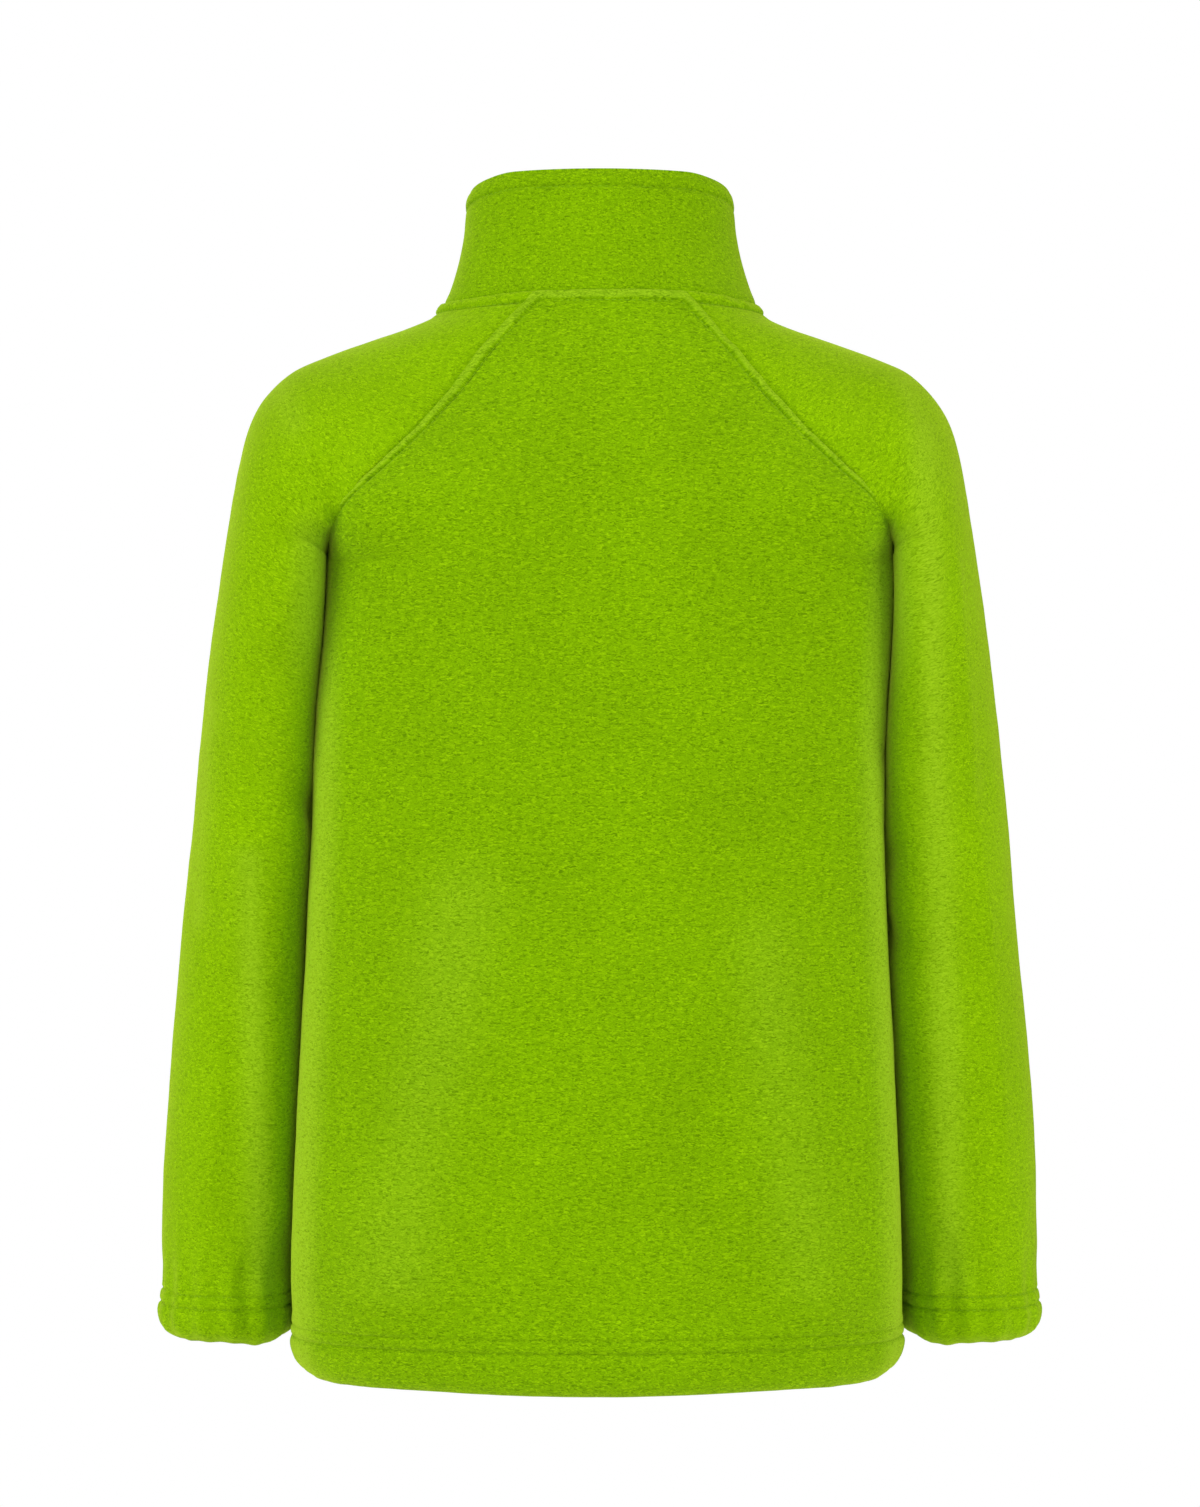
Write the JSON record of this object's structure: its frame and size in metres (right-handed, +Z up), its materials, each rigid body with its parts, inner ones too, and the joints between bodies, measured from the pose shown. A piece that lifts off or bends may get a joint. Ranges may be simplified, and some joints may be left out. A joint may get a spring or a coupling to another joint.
{
  "type": "fleece jacket",
  "caption": "A child's lime green fleece jacket with raglan sleeves, a stand collar, a full front zip, a turned-up hem and gathered cuffs, filled out and hollow.",
  "frame": {"origin": "the middle of the neck opening between the shoulders, level with the shoulder tops", "axes": "+Z up, -Y out of the front with the zip, +X to the wearer's left"},
  "size_m": [0.4472, 0.2154, 0.5933],
  "materials": {
    "fleece": "brushed polyester pile, lime green, matt with a pale sheen at its edges",
    "zip_tape": "woven polyester tape, lime green",
    "zip_plastic": "moulded acetal, dyed lime green",
    "zip_slider_metal": "die-cast zinc with a lime green lacquer"
  },
  "bodies": {
    "jacket": {"back": "fleece", "front_left": "fleece", "front_right": "fleece", "sleeve_left": "fleece", "sleeve_right": "fleece", "collar": "fleece", "zip_tape_left": "zip_tape", "zip_tape_right": "zip_tape", "zip_chain": "zip_plastic", "zip_box": "zip_plastic", "zip_slider": "zip_slider_metal"},
    "pull_tab": {"zip_pull": "zip_slider_metal"}
  },
  "joints": [
    {"name": "pull_swing", "type": "hinge", "parent": "jacket", "child": "pull_tab", "pos_m": [0, -0.05274, 0.02401], "axis": [-1, 0, 0], "range_deg": [0, 165]}
  ]
}
